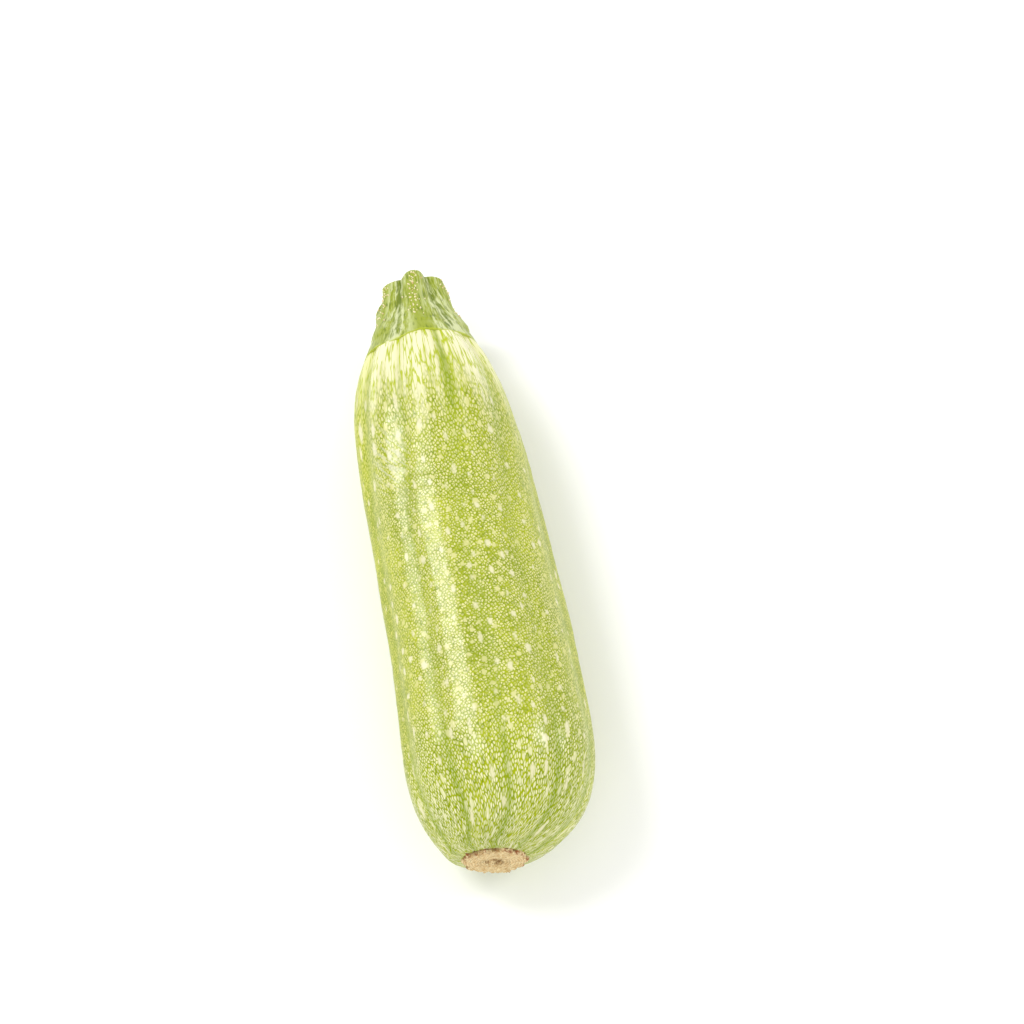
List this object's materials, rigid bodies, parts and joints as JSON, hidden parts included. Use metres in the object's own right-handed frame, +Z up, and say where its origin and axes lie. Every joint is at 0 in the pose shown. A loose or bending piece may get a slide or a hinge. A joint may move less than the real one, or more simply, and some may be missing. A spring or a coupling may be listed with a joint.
{
  "type": "vegetable marrow",
  "caption": "Light green marrow as cut, lying on its side: a tapering, softly ribbed fruit with a short ridged cut stem at one end and a corky blossom scar at the other.",
  "frame": {"origin": "bottom centre of the whole object's box, on the surface that the marrow lies on", "axes": "+Y along the fruit towards the cut stem, +Z up, +X to the right when looking along +Y"},
  "size_m": [0.0522, 0.1778, 0.0503],
  "materials": {
    "marrow_skin": "satin, thin waxy vegetable skin, pale cream flecks and dots on a yellow-green net",
    "green_stem": "fresh fibrous stem, satin, with whitish blotches and tiny cream prickles on its ridges",
    "cork_scar": "dry matt cork with a reddish-brown ragged rim"
  },
  "bodies": {
    "root": {"fruit": "marrow_skin", "stem": "green_stem", "blossom_scar": "cork_scar"}
  },
  "joints": []
}
